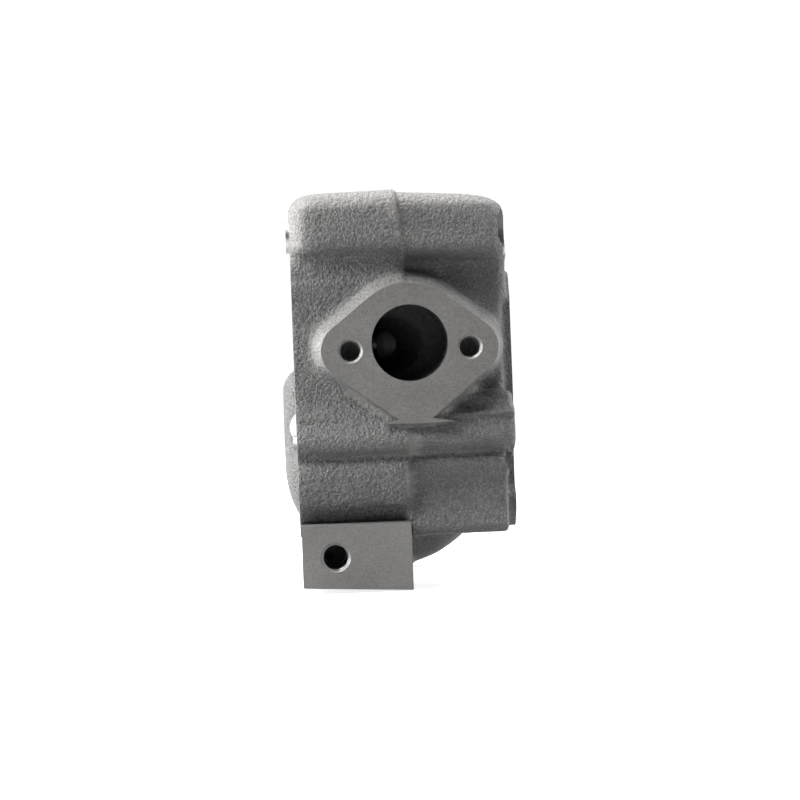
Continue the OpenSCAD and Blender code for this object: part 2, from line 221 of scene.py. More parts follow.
def add_thread(bm, mouth, direction, minor_r, major_r, pitch, depth, steps=32):
    """A threaded bar from a mouth inwards: a round bar whose radius follows a helix."""
    d, a, b = frame_along(direction)
    rings = []
    rows = int(depth / pitch * 8)
    for k in range(rows + 1):
        s = depth * k / rows
        ring = []
        for i in range(steps):
            t = 2 * math.pi * i / steps
            phase = (s / pitch - i / steps) % 1.0
            r = minor_r + (major_r - minor_r) * max(0.0, 1 - abs(2 * phase - 1) * 1.15)
            ring.append(Vector(mouth) + s * d + r * (math.cos(t) * a + math.sin(t) * b))
        rings.append(ring)
    add_loft(bm, rings)


def solid(name, add, *args, **kwargs):
    bm = bmesh.new()
    add(bm, *args, **kwargs)
    return mesh_object(name, bm)


def apply_modifiers(obj):
    graph = bpy.context.evaluated_depsgraph_get()
    mesh = bpy.data.meshes.new_from_object(obj.evaluated_get(graph))
    obj.modifiers.clear()
    obj.data = mesh


def combine(obj, other, operation):
    """A boolean between two closed meshes; the other one is used up."""
    mod = obj.modifiers.new("combine", "BOOLEAN")
    mod.operation = operation
    mod.solver = "MANIFOLD"
    mod.object = other
    apply_modifiers(obj)
    bpy.data.objects.remove(other)


def remesh(obj, size):
    mod = obj.modifiers.new("remesh", "REMESH")
    mod.mode = "VOXEL"
    mod.voxel_size = size
    apply_modifiers(obj)


# ---------- the raw casting ----------


def add_top_box(bm):
    """Box that joins the two upper stud columns, rounded more on the rocker side."""
    crown, deep = 9.0, 61.4
    levels = [(TOP_Z - 28, 0.0, 10.0), (TOP_Z - 25, 0.0, 1.6), (TOP_Z - 22, 0.0, 0.0)]
    for turn in range(0, 91, 10):
        a = math.radians(turn)
        levels.append((TOP_Z + 0.3 - crown * (1 - math.sin(a)), 1 - math.cos(a), 0.0))
    sections = []
    for z, inset, under in levels:
        low = (-0.4 + 9 * inset, -deep + 9 * inset + under)
        high = (BODY_T + 3.4 - 14 * inset, deep - 9 * inset - under)
        sections.append([(x, y, z) for x, y in rounded(low, high, 9.5)])
    add_loft(bm, sections)


FLANGE_DISCS = [
    (INTAKE_X, 0, 25.4),
    (INTAKE_X - INTAKE_PITCH / 2, -INTAKE_DROP, 12),
    (INTAKE_X + INTAKE_PITCH / 2, -INTAKE_DROP, 12),
    (INTAKE_X - 4.0, -31.7, 1.0),
    (INTAKE_X + 7.6, -31.0, 1.0),
]
HOUSING_DISCS = [
    (HOUSING_X, HOUSING_Z, HOUSING_R),
    (HOUSING_X - HOUSING_R + 12, HOUSING_TOP - 12, 12),
    (HOUSING_X + HOUSING_R - 12, HOUSING_TOP - 12, 12),
]
EXHAUST_DISCS = [
    (EXHAUST_X, EXHAUST_Z, 23),
    (EXHAUST_X - EXHAUST_PITCH / 2, EXHAUST_Z, 11),
    (EXHAUST_X + EXHAUST_PITCH / 2, EXHAUST_Z, 11),
]

# Front wall of each mould half, from top to bottom, as (Y, Z)
FRONT_DECK_HALF = [
    (-49, 42), (-55, 35), (-54, 10), (-54.4, -8), (-54.8, -24), (-58.4, -32.5), (-60.7, -37),
    (-61.6, -41), (-60.4, -44.6), (-55.6, -46.8), (-58.2, -50), (-59, -54), (-58.6, -60),
    (-57, -67), (-53, -73), (-48, -77), (-48, -80.5),
]
FRONT_COVER_HALF = [
    (-49, 42), (-48.5, 10), (-49, -20), (-51.5, -28), (-58, -33.5), (-60.6, -37.5), (-61.2, -41),
    (-59.6, -44.2), (-54.8, -46.4), (-57.6, -49.5), (-56.6, -54), (-54.4, -61), (-54.2, -66),
    (-55.4, -72), (-56.8, -78), (-55.5, -81.2),
]


def raw_shapes():
    """The casting's outside, as closed shapes that overlap."""
    bm = bmesh.new()
    back = [(50, -80.5), (54, -58), (54, 57), (-49, 57)]
    add_x(bm, FRONT_DECK_HALF + back, -2, PARTING_X)
    add_x(bm, FRONT_COVER_HALF + back, PARTING_X - 0.5, BODY_T + 0.3)
    add_top_box(bm)
    # lower stud columns, which end in the nut bosses
    add_x(bm, circle((-50, -37), 10), PARTING_X, COVER_X - 0.6)
    add_x(bm, circle((-48, -43), 12.4), BODY_T - 0.5, COVER_X - 0.6)
    add_x(bm, rounded((-47, 16), (47, 45), 4), BODY_T - 1, BODY_T + 2.8)
    add_x(bm, circle((46, -45), 15), -2, COVER_X - 0.6)
    # narrow rib above the front column
    add_rod(bm, (68, -47, -24.5), (BODY_T + 2.5, -52.5, -26.5), 5)
    # intake flange, flared towards the wall
    front = wrapped(FLANGE_DISCS)
    base = [(x - 1.7, z + 1.4) for x, z in wrapped(FLANGE_DISCS, grow=4.6)]
    add_y(bm, front, INTAKE_Y - 4, INTAKE_Y + 1.2)
    add_y(bm, front, INTAKE_Y + 1, -52, base)
    add_y(bm, base, -52.2, -47)
    # water housing, like a barrel at its front edge, on its neck
    sections = []
    for back_by, grow in ((0, -9), (1.1, -5.5), (3.5, -2.6), (7, -0.9), (12, 0), (26, 0)):
        outline = wrapped(HOUSING_DISCS, grow)
        sections.append([(x, HOUSING_FRONT + back_by, z) for x, z in outline])
    add_loft(bm, sections)
    foot = [(24, HOUSING_Z), (52, HOUSING_Z), (52, FOOT_Z - 0.3), (24, FOOT_Z + 1.1)]
    add_y(bm, foot, HOUSING_FRONT + 1, HOUSING_Y + 3)
    add_y(bm, rounded((3, -62), (BODY_T - 2, HOUSING_TOP - 2), 4), 48, HOUSING_FRONT + 1)
    # exhaust flange
    add_y(bm, wrapped(EXHAUST_DISCS, grow=3), 48, EXHAUST_Y + 3, wrapped(EXHAUST_DISCS))
    # rocker chamber rim and its screw bosses
    add_x(bm, rounded((-44, -31), (44, 25), 9), FLOOR_X, COVER_X + 3)
    add_x(bm, rounded((-35, -80), (35, -24), 6), FLOOR_X, COVER_X + 3)
    for y in (-COVER_SCREW_Y, COVER_SCREW_Y):
        for z in COVER_SCREWS_Z:
            add_x(bm, circle((y, z), 6.5), FLOOR_X, COVER_X + 3)
    obj = mesh_object("casting", bm)
    remesh(obj, 1.2)
    return obj


def add_bracket_pad(obj):
    """The pad is sharp on all its edges, so it joins the skin after the sand grain."""
    bm = bmesh.new()
    outline = [
        (PAD_LEFT, PAD_TOP), (PAD_RIGHT, PAD_TOP), (PAD_RIGHT, FOOT_Z - 0.3), (PAD_LEFT, FOOT_Z + 2.0),
    ]
    add_y(bm, outline, PAD_Y - 1, -26)
    edges = [e for e in bm.edges if all(v.co.y < PAD_Y or v.co.y > PAD_Y for v in e.verts)]
    bmesh.ops.bevel(bm, geom=edges, offset=0.45, segments=2, profile=0.5, affect="EDGES")
    combine(obj, mesh_object("pad", bm), "UNION")


def add_mill_lip(obj):
    """The thin ledge left where the flange's mill stopped, with its undercut lower side."""
    upper = [
        (36.5, MILL_END_Z), (41.0, MILL_END_Z + 0.9), (43.9, MILL_END_Z + 1.6),
        (44.6, -31.5), (56.1, -31.0), (56.8, MILL_END_Z + 1.6), (60.5, MILL_END_Z + 0.9),
        (66.5, MILL_END_Z),
    ]
    middle, half = 51.5, 15
    across = [middle + half - 3 * k for k in range(1, 10)]
    face = [(x, MILL_END_Z - 0.5 * (1 - ((x - middle) / half) ** 2)) for x in across]
    root = [(x, MILL_END_Z - 2.4 * (1 - ((x - middle) / half) ** 2)) for x in across]
    bm = bmesh.new()
    add_y(bm, upper + face, INTAKE_Y, INTAKE_Y + 2.2, upper + root)
    combine(obj, mesh_object("lip", bm), "UNION")


def cast_hollows(obj):
    """Hollows that the sand cores leave, before the skin is smoothed."""
    chamber = solid("c", add_x, rounded((-37, -24), (37, 18), 7), FLOOR_X, COVER_X + 5)
    narrow = rounded((-28, -73), (28, -16), 5)
    combine(chamber, solid("c", add_x, narrow, FLOOR_X, COVER_X + 5), "UNION")
    combine(obj, chamber, "DIFFERENCE")
    pedestal = rounded((-21, -46), (21, -30), 5)
    combine(obj, solid("c", add_x, pedestal, FLOOR_X - 1, PEDESTAL_X), "UNION")
    for hollow in (
        ("x", rounded((-20, -71), (20, -60), 5), -5, FLOOR_X + 2),
        ("y", circle((HOUSING_X, HOUSING_Z), 30), HOUSING_FRONT + 6, HOUSING_Y - 6),
        ("y", circle((HOUSING_X, HOUSING_Z), 21), HOUSING_Y - 8, HOUSING_Y + 5),
    ):
        add = add_x if hollow[0] == "x" else add_y
        combine(obj, solid("c", add, *hollow[1:]), "DIFFERENCE")
    for start, end, r in (
        ((INTAKE_X, INTAKE_Y - 5, 0), (INTAKE_X, -44, 0), INTAKE_R - 0.3),
        ((46, -52, 0), (23, -17, 0), 12),
        ((3, -VALVE_Y, 0), (34, -VALVE_Y, 0), 14.5),
        ((EXHAUST_X, 54, EXHAUST_Z), (EXHAUST_X, EXHAUST_Y + 5, EXHAUST_Z), EXHAUST_R - 0.3),
        ((24, VALVE_Y, 0), (EXHAUST_X, 60, EXHAUST_Z), 13),
        ((3, VALVE_Y, 0), (32, VALVE_Y, 0), 12.2),
    ):
        combine(obj, solid("c", add_rod, start, end, r), "DIFFERENCE")


def mesh_points(mesh):
    co = np.empty(len(mesh.vertices) * 3, np.float32)
    mesh.vertices.foreach_get("co", co)
    return co.reshape(-1, 3).astype(float)


def set_points(mesh, co):
    mesh.vertices.foreach_set("co", co.astype(np.float32).ravel())
    mesh.update()


def mesh_edges(mesh):
    edges = np.empty(len(mesh.edges) * 2, np.int32)
    mesh.edges.foreach_get("vertices", edges)
    return edges.reshape(-1, 2)


def smooth(co, edges, passes, weight=None):
    """Moves each point towards its neighbours' middle, by a weight from 0 to 1."""
    count = len(co)
    a, b = edges[:, 0], edges[:, 1]
    degree = np.bincount(a, minlength=count) + np.bincount(b, minlength=count)
    step = 0.5 if weight is None else 0.5 * weight[:, None]
    for _ in range(passes):
        total = np.empty_like(co)
        for k in range(3):
            total[:, k] = np.bincount(a, co[b, k], count) + np.bincount(b, co[a, k], count)
        co = co + step * (total / degree[:, None] - co)
    return co


def band(value, low, high, edge):
    """1 between low and high, falling to 0 over an edge on both sides."""
    rise = np.clip((value - low) / edge + 1, 0, 1)
    fall = np.clip((high - value) / edge + 1, 0, 1)
    t = np.minimum(rise, fall)
    return t * t * (3 - 2 * t)


def fields(co, scale, seed):
    """Smooth noise at each point, about -1 to 1."""
    shift = Vector((seed * 17.3, seed * 5.1, -seed * 9.7))
    return np.array([noise.noise(Vector(p) * scale + shift) for p in co])


def seam_x(z):
    """The parting line runs straight, then leans to the deck side over the top box."""
    return PARTING_X - 2.4 * np.clip((z - 42) / 16, 0, 1)


def taper(co):
    """Draft both ways from the parting line, and the small step where the two mould halves met."""
    x, y, z = co.T
    off = x - seam_x(z)
    d = np.where(off < 0, -off * DRAFT_DECK, off * DRAFT_COVER)
    inward_y = d * np.clip(np.abs(y) / 50, 0, 1) ** 2 * (y < 62)
    inward_z = d * np.clip((z - 10) / 45, 0, 1)
    right = 1 / (1 + np.exp(-(off - 0.3) * 6))
    upper = np.clip((z - 15) / 20, 0, 1)
    front = (y < 0) * np.clip((-y - 40) / 8, 0, 1)
    flange = band(z, -30, 26, 3) * (y < -51)
    co[:, 1] = y - np.sign(y) * inward_y * (1 - flange) + 0.7 * right * front * (1 - flange)
    co[:, 1] += 0.1 * right * front * np.clip(z - 40, 0, 18)
    co[:, 2] = z - inward_z - PARTING_STEP * right * upper
    return co


def vertex_normals(mesh):
    normals = np.empty(len(mesh.vertices) * 3, np.float32)
    mesh.vertices.foreach_get("normal", normals)
    return normals.reshape(-1, 3).astype(float)


def ground_and_highlight_places(co):
    """How far the skin was smoothed by grinding or came out of the mould smooth, from 0 to 1; on
    the places that came out smooth, the lighter colour this mask brings is a painted highlight.

    Flash was taken off by grinding in ragged patches on the parting line and beside the flange's
    tip. The crown, the box's corner on the deck side and the flange's sides are smooth, and there
    the lighter colour stands in for the light from above and from the left.
    """
    x, y, z = co.T
    off = x - seam_x(z)
    ragged = 1.6 * np.sin(z * 1.7) + 1.1 * np.sin(z * 4.1 + 1) + 0.5 * np.sin(z * 9.3)
    near = np.zeros(len(co))
    for z0, z1, left, right in ((53, 67, -3.6, 1.2), (-47, -38.5, -0.2, 4.0), (-63, -55, -1.4, 1.6)):
        patch = band(z, z0, z1, 2.5) * band(off, left, right + 0.6 * ragged, 0.8)
        near = np.maximum(near, patch)
    seam = 0.5 * band(z, 30, 53, 2) * band(off, -0.3, 0.5, 0.5)
    near = np.maximum(near, seam) * (y < -20)
    for side in (-1, 1):
        along = side * (x - INTAKE_X - side * 32) * -0.8 - (z + 12) * 0.6
        out = side * (x - INTAKE_X - side * 32) * 0.6 - (z + 12) * 0.8
        flash = band(along, 9, 31, 1.5) * band(out, 1.4, 3.6 + 0.4 * ragged, 0.5)
        near = np.maximum(near, 0.9 * flash * (y < -48) * (z > -36))
    # painted highlight: the crown, the deck-side box corner and the flange's sides are smooth, and their
    # lighter colour stands in for the light falling on them
    near = np.maximum(near, 0.8 * band(z, 58.0, 80, 1.2))
    near = np.maximum(near, 0.7 * band(x, -5, 4.5, 2.0) * band(z, 42, 70, 2.0) * (y < -30))
    return np.maximum(near, 0.7 * band(y, -61.9, -56.0, 0.6) * band(z, -8, 32, 2.0))


def give_grain(obj):
    """Waves, sand grain and pits in the skin. Machining comes later and cuts them away."""
    mesh = obj.data
    co = mesh_points(mesh)
    normals = vertex_normals(mesh)
    ground_and_highlight = ground_and_highlight_places(co)
    waves = 0.35 * fields(co, 1 / 28, 1) + 0.16 * fields(co, 1 / 9, 2)
    grain = 0.075 * fields(co, 1 / 1.8, 3) + 0.085 * fields(co, 1 / 1.1, 4)
    pits = -0.55 * np.clip(fields(co, 1 / 4.2, 5) - 0.48, 0, 1)
    x, y, z = co.T
    deck_half = 1 / (1 + np.exp((x - PARTING_X) * 2))
    rugged = np.maximum(band(z, 0, 38, 6) * deck_half, band(z, -76, -52, 4))
    rugged = 0.75 + 0.9 * rugged * (y < 0)
    height = waves + (grain * rugged + pits) * (1 - 0.85 * ground_and_highlight)
    # a thin raised seam along the parting plane, where it wasn't ground, and a line across the wall
    off = co[:, 0] - seam_x(co[:, 2])
    seam = np.exp(-(((off - 0.3) / 0.7) ** 2)) * (1 - ground_and_highlight)
    line = np.exp(-(((z + 54.6 + 1.2 * np.cos(x / 14)) / 0.5) ** 2)) * deck_half * (y < -50)
    height += 0.25 * line
    height += 0.35 * seam * np.clip(fields(co, 1 / 6, 7) + 0.6, 0, 1)
    co += normals * height[:, None]
    set_points(mesh, co)


def raw_casting():
    obj = raw_shapes()
    cast_hollows(obj)
    remesh(obj, VOXEL)
    mesh = obj.data
    co = mesh_points(mesh)
    edges = mesh_edges(mesh)
    co = smooth(co, edges, 5)
    # wider fillets round the flange base and under the top box
    x, y, z = co.T
    fillet = band(y, -54, -44, 1.5) * band(z, -30, 34, 4.0)
    co = smooth(co, edges, 3, fillet)
    under_box = band(z, 33, 44, 2.0) * (y < -40)
    co = smooth(co, edges, 24, under_box * (x < PARTING_X - 2))
    co = smooth(co, edges, 4, under_box)
    co = smooth(co, edges, 5, band(z, -82, -36, 2.0) * (y < -40))
    co = taper(co)
    set_points(mesh, co)
    give_grain(obj)
    add_bracket_pad(obj)
    add_mill_lip(obj)
    return obj


# ---------- machining ----------


def tapped(face, direction, thread, depth):
    """Cutter for a tapped hole: thread, drill point and a mouth chamfer."""
    r_minor, r_major, pitch = thread
    d = Vector(direction).normalized()
    face = Vector(face)
    cutter = solid("c", add_thread, face - d * 0.5, d, r_minor, r_major, pitch, depth)
    drill = face + d * (depth - 1)
    combine(cutter, solid("c", add_rod, drill, drill + d * 4.5, r_minor, 0.2), "UNION")
    chamfer = solid("c", add_rod, face - d * 0.5, face + d * 0.5, r_major + 0.8, r_major - 0.2)
    combine(cutter, chamfer, "UNION")
    return cutter


def box_cutter(low, high):
    (x0, y0, z0), (x1, y1, z1) = low, high
    return solid("c", add_x, [(y0, z0), (y1, z0), (y1, z1), (y0, z1)], x0, x1)


def face_cutters():
    """The milled faces."""
    far = 150
    yield box_cutter((-far, -far, -far), (0, HOUSING_FRONT, far))
    yield box_cutter((COVER_X, -46, -83), (far, 46, 33))
    yield box_cutter((-far, -far, MILL_END_Z), (far, INTAKE_Y, far))
    yield box_cutter((-far, -far, -far), (far, PAD_Y, -70))
    yield box_cutter((-far, EXHAUST_Y, -5), (far, far, far))
    yield box_cutter((-far, HOUSING_Y, -far), (far, far, -7.9))


def hole_cutters():
    """Drilled, bored and tapped holes."""

    def rod(start, end, r, r1=None):
        return solid("c", add_rod, start, end, r, r1, steps=64)

    yield rod((INTAKE_X, INTAKE_Y - 3, 0), (INTAKE_X, INTAKE_Y + 14, 0), INTAKE_R)
    yield rod((EXHAUST_X, EXHAUST_Y - 10, EXHAUST_Z), (EXHAUST_X, EXHAUST_Y + 3, EXHAUST_Z), EXHAUST_R)
    yield rod((HOUSING_X, HOUSING_Y - 8, HOUSING_Z), (HOUSING_X, HOUSING_Y + 3, HOUSING_Z), OUTLET_R)
    yield rod(
        (SIDE_HOLE_X, HOUSING_FRONT - 1, SIDE_HOLE_Z),
        (SIDE_HOLE_X, HOUSING_Y + 3, SIDE_HOLE_Z),
        8.5,
    )
    for s in (-1, 1):
        hole = (INTAKE_X + s * INTAKE_PITCH / 2, INTAKE_Y, -INTAKE_DROP)
        yield tapped(hole, (0, 1, 0), M10, 10)
        stud_x = EXHAUST_X + s * EXHAUST_PITCH / 2
        yield rod((stud_x, EXHAUST_Y - 16, EXHAUST_Z), (stud_x, EXHAUST_Y + 3, EXHAUST_Z), 4.0)
        clamp = (s * CLAMP_Y, SWIRL_Z)
        yield rod((BODY_T, *clamp), (COVER_X + 5, *clamp), 7)
        yield tapped((BODY_T, *clamp), (-1, 0, 0), M8, 16)
        yield tapped((PEDESTAL_X, s * ROCKER_BOLT_Y, ROCKER_BOLT_Z), (-1, 0, 0), M8, 14)
        for z in COVER_SCREWS_Z:
            yield tapped((COVER_X, s * COVER_SCREW_Y, z), (-1, 0, 0), M6, 13)
        for z in (-STUD_Z, STUD_Z):
            stud = (s * STUD_Y, z)
            yield rod((-3, *stud), (COVER_X + 5, *stud), STUD_R)
            yield rod((BODY_T - 0.6, *stud), (COVER_X + 5, *stud), 10.5)
        dowel = (s * STUD_Y, -s * STUD_Z)
        yield rod((-3, *dowel), (7, *dowel), 6.5)
        for z in TRANSFERS_Z:
            yield rod((-3, s * TRANSFER_Y, z), (13, s * TRANSFER_Y, z), 4)
        plug = (CORE_PLUG_X, s * CORE_PLUG_Y)
        yield rod((*plug, 52), (*plug, TOP_Z + 4), CORE_PLUG_R)
    yield tapped((PAD_HOLE_X, PAD_Y, PAD_HOLE_Z), (0, 1, 0), M12, 24)
    for a in (45, 135, 225, 315):
        x = HOUSING_X + OUTLET_SCREWS_R * math.cos(math.radians(a))
        z = HOUSING_Z + OUTLET_SCREWS_R * math.sin(math.radians(a))
        yield tapped((x, HOUSING_Y, z), (0, -1, 0), M8, 5.5)
    for y, r in ((-VALVE_Y, 20.5), (VALVE_Y, 18.0)):
        yield rod((-3, y, 0), (9, y, 0), r)
        yield rod((8, y, 0), (FLOOR_X + 3, y, 0), 6.5)
    yield rod((-3, 0, SWIRL_Z), (14, 0, SWIRL_Z), 11)
    yield rod((13, 0, SWIRL_Z), (28, 0, SWIRL_Z), 8.5, 4)
    yield rod((27, 0, SWIRL_Z), (36, 0, SWIRL_Z), 4)
    yield rod((34, 0, SWIRL_Z), (BODY_T + 5, 0, SWIRL_Z), 9.5)
    for start_y, end_y, r in ((20, HOUSING_FRONT + 1, 3), (42, HOUSING_FRONT - 0.5, 5)):
        yield rod((GALLERY_X, start_y, GALLERY_Z), (GALLERY_X, end_y, GALLERY_Z), r)


MACHINED_PLANES = [
    ((1, 0, 0), 0.0),
    ((1, 0, 0), COVER_X),
    ((0, 1, 0), INTAKE_Y),
    ((0, 1, 0), PAD_Y),
    ((0, 1, 0), EXHAUST_Y),
    ((0, 1, 0), HOUSING_Y),
]


def machine(obj):
    """Cuts every machined surface. The faces that stay are marked as skin; a cutter's aren't."""
    skin = obj.data.attributes.new("skin", "INT", "FACE")
    skin.data.foreach_set("value", np.ones(len(obj.data.polygons), np.int32))
    for cutter in face_cutters():
        combine(obj, cutter, "DIFFERENCE")
    for cutter in hole_cutters():
        combine(obj, cutter, "DIFFERENCE")


def polygons_data(mesh):
    count = len(mesh.polygons)
    centre = np.empty(count * 3, np.float32)
    normal = np.empty(count * 3, np.float32)
    mesh.polygons.foreach_get("center", centre)
    mesh.polygons.foreach_get("normal", normal)
    return centre.reshape(-1, 3), normal.reshape(-1, 3)


def assign_casting_materials(obj, materials):
    """Rough skin keeps slot 0; faces left by a cutter get the milled or the bored finish."""
    mesh = obj.data
    centre, normal = polygons_data(mesh)
    skin = np.zeros(len(centre), np.int32)
    mesh.attributes["skin"].data.foreach_get("value", skin)
    index = np.where(skin == 0, 2, 0).astype(np.int32)
    for axis, at in MACHINED_PLANES:
        axis = np.array(axis)
        level = np.abs(centre @ axis - at) < 0.02
        square = np.abs(normal @ axis) > 0.999
        index[level & square] = 1
    # painted shade: the cored passages are coloured far darker than the outside, standing in for the
    # shade deep inside them
    x, y, z = centre.T
    in_intake = (np.hypot(x - INTAKE_X, z) < INTAKE_R + 0.2) & (y > INTAKE_Y + 1.0) & (y < -40)
    below_floor = (x < 51) | ((x < 66) & (y < -37.5)) | ((x < 54) & (y < -33))
    deeper = (np.abs(z) < 17) & (np.abs(y) < 50) & (x > 9.5) & below_floor
    index[(in_intake | deeper) & (index != 1)] = 3
    mesh.materials.clear()
    for material in materials:
        mesh.materials.append(material)
    mesh.polygons.foreach_set("material_index", index)


def to_metres(obj):
    obj.data.transform(Matrix.Scale(MM, 4))
    obj.data.update()


def shade(obj, angle=38):
    mesh = obj.data
    mesh.polygons.foreach_set("use_smooth", np.ones(len(mesh.polygons), bool))
    mesh.set_sharp_from_angle(angle=math.radians(angle))


# ---------- materials ----------


def node_tree(name):
    material = bpy.data.materials.new(name)
    material.use_nodes = True
    nodes = material.node_tree.nodes
    links = material.node_tree.links
    shader = nodes["Principled BSDF"]
    where = nodes.new("ShaderNodeTexCoord").outputs["Object"]
    return material, nodes, links, shader, where


def noise_node(nodes, links, where, scale, detail=4.0, roughness=0.6, stretch=None):
    tex = nodes.new("ShaderNodeTexNoise")
    tex.inputs["Scale"].default_value = scale
    tex.inputs["Detail"].default_value = detail
    tex.inputs["Roughness"].default_value = roughness
    if stretch:
        mapping = nodes.new("ShaderNodeMapping")
        mapping.inputs["Scale"].default_value = stretch
        links.new(where, mapping.inputs["Vector"])
        where = mapping.outputs["Vector"]
    links.new(where, tex.inputs["Vector"])
    return tex.outputs["Fac"]


def ramp(nodes, links, value, stops):
    node = nodes.new("ShaderNodeValToRGB")
    points = node.color_ramp.elements
    while len(points) < len(stops):
        points.new(0.5)
    for point, (at, colour) in zip(points, stops):
        point.position = at
        point.color = (*colour, 1)
    links.new(value, node.inputs["Fac"])
    return node.outputs["Color"]


def mix(nodes, links, kind, factor, a, b):
    node = nodes.new("ShaderNodeMix")
    node.data_type = "RGBA"
    node.blend_type = kind
    for socket, value in ((node.inputs[0], factor), (node.inputs[6], a), (node.inputs[7], b)):
        if isinstance(value, bpy.types.NodeSocket):
            links.new(value, socket)
        else:
            socket.default_value = value if not isinstance(value, tuple) else (*value, 1)
    return node.outputs[2]


def bump(nodes, links, height, distance, strength=1.0, below=None):
    node = nodes.new("ShaderNodeBump")
    node.inputs["Distance"].default_value = distance
    node.inputs["Strength"].default_value = strength
    links.new(height, node.inputs["Height"])
    if below is not None:
        links.new(below, node.inputs["Normal"])
    return node.outputs["Normal"]


def grey(value, warm=0.0):
    return (value * (1 + warm), value, value * (1 - warm))


def sharper(nodes, links, value, low, high):
    """Spreads a narrow band of noise over 0 to 1, which turns soft waves into grains."""
    node = nodes.new("ShaderNodeMapRange")
    node.interpolation_type = "SMOOTHSTEP"
    node.inputs["From Min"].default_value = low
    node.inputs["From Max"].default_value = high
    links.new(value, node.inputs["Value"])
    return node.outputs["Result"]


def rough_cast(name, level, gloss=0.55):
    """Shot-blasted sand casting: fine lit grains, faint cloudy tone, lighter iron where flash was taken
    off by grinding, and a painted highlight on the smooth crown, box corner and flange sides.
    """
    material, nodes, links, shader, where = node_tree(name)
    broad = noise_node(nodes, links, where, 60, 3)
    grains = sharper(nodes, links, noise_node(nodes, links, where, 620, 3, 0.6), 0.36, 0.64)
    fine = sharper(nodes, links, noise_node(nodes, links, where, 1150, 2, 0.6), 0.36, 0.66)
    tone = ramp(nodes, links, broad, [(0.3, grey(level * 0.88, 0.01)), (0.7, grey(level * 1.1, 0.02))])
    speck = ramp(nodes, links, fine, [(0.0, grey(0.6)), (0.6, grey(1.0)), (1.0, grey(1.6))])
    colour = mix(nodes, links, "MULTIPLY", 1.0, tone, speck)
    ground_and_highlight = nodes.new("ShaderNodeAttribute")
    ground_and_highlight.attribute_name = "ground_and_highlight"
    # lighter colour from the mask: lighter iron where flash was taken off by grinding, and a painted
    # highlight on the smooth crown, box corner and flange sides
    colour = mix(nodes, links, "MIX", ground_and_highlight.outputs["Fac"], colour, grey(level * 1.6, 0.03))
    links.new(colour, shader.inputs["Base Color"])
    rough = nodes.new("ShaderNodeMapRange")
    rough.inputs["To Min"].default_value = gloss - 0.1
    rough.inputs["To Max"].default_value = gloss + 0.2
    links.new(fine, rough.inputs["Value"])
    links.new(rough.outputs["Result"], shader.inputs["Roughness"])
    shader.inputs["Metallic"].default_value = 0.3
    flat = nodes.new("ShaderNodeMath")
    flat.operation = "MULTIPLY_ADD"
    flat.inputs[1].default_value = -0.85
    flat.inputs[2].default_value = 1.0
    links.new(ground_and_highlight.outputs["Fac"], flat.inputs[0])
    first = bump(nodes, links, grains, 0.0003, 1.0)
    second = nodes.new("ShaderNodeBump")
    second.inputs["Distance"].default_value = 0.00015
    links.new(flat.outputs[0], second.inputs["Strength"])
    links.new(fine, second.inputs["Height"])
    links.new(first, second.inputs["Normal"])
    links.new(second.outputs["Normal"], shader.inputs["Normal"])
    return material


def milled(name, level, roughness=0.42, lay=(1.0, 1.0, 9.0), scale=330):
    """Milled iron: faint lay marks one way, soft cloudy tone and small dark graphite specks."""
    material, nodes, links, shader, where = node_tree(name)
    clouds = noise_node(nodes, links, where, 38, 4)
    marks = noise_node(nodes, links, where, scale, 3, 0.55, lay)
    specks = noise_node(nodes, links, where, 1300, 3, 0.6)
    tone = ramp(nodes, links, clouds, [(0.3, grey(level * 0.88, 0.02)), (0.7, grey(level * 1.12, 0.03))])
    fine = ramp(nodes, links, marks, [(0.3, grey(0.9)), (0.7, grey(1.1))])
    dark = ramp(nodes, links, specks, [(0.3, grey(0.8)), (0.6, grey(1.1))])
    colour = mix(nodes, links, "MULTIPLY", 1.0, tone, fine)
    links.new(mix(nodes, links, "MULTIPLY", 1.0, colour, dark), shader.inputs["Base Color"])
    rough = nodes.new("ShaderNodeMapRange")
    rough.inputs["To Min"].default_value = roughness - 0.06
    rough.inputs["To Max"].default_value = roughness + 0.12
    links.new(marks, rough.inputs["Value"])
    links.new(rough.outputs["Result"], shader.inputs["Roughness"])
    shader.inputs["Metallic"].default_value = 0.5
    first = bump(nodes, links, marks, 0.00006, 0.6)
    links.new(bump(nodes, links, specks, 0.0001, 0.5, first), shader.inputs["Normal"])
    return material


def finished(name, colour, roughness, metallic=1.0, grain=500, depth=0.00003, lay=(1, 1, 1)):
    """A turned, ground, plated or moulded surface, with tone and gloss that vary a little."""
    material, nodes, links, shader, where = node_tree(name)
    clouds = noise_node(nodes, links, where, 70, 4)
    marks = noise_node(nodes, links, where, grain, 3, 0.55, lay)
    low = tuple(c * 0.84 for c in colour)
    high = tuple(min(1.0, c * 1.12) for c in colour)
    tone = ramp(nodes, links, clouds, [(0.3, low), (0.7, high)])
    shades = ramp(nodes, links, marks, [(0.3, grey(0.88)), (0.7, grey(1.1))])
    links.new(mix(nodes, links, "MULTIPLY", 1.0, tone, shades), shader.inputs["Base Color"])
    rough = nodes.new("ShaderNodeMapRange")
    rough.inputs["To Min"].default_value = max(0.05, roughness - 0.08)
    rough.inputs["To Max"].default_value = roughness + 0.1
    links.new(marks, rough.inputs["Value"])
    links.new(rough.outputs["Result"], shader.inputs["Roughness"])
    shader.inputs["Metallic"].default_value = metallic
    links.new(bump(nodes, links, marks, depth, 0.7), shader.inputs["Normal"])
    return material


# ---------- pieces ----------


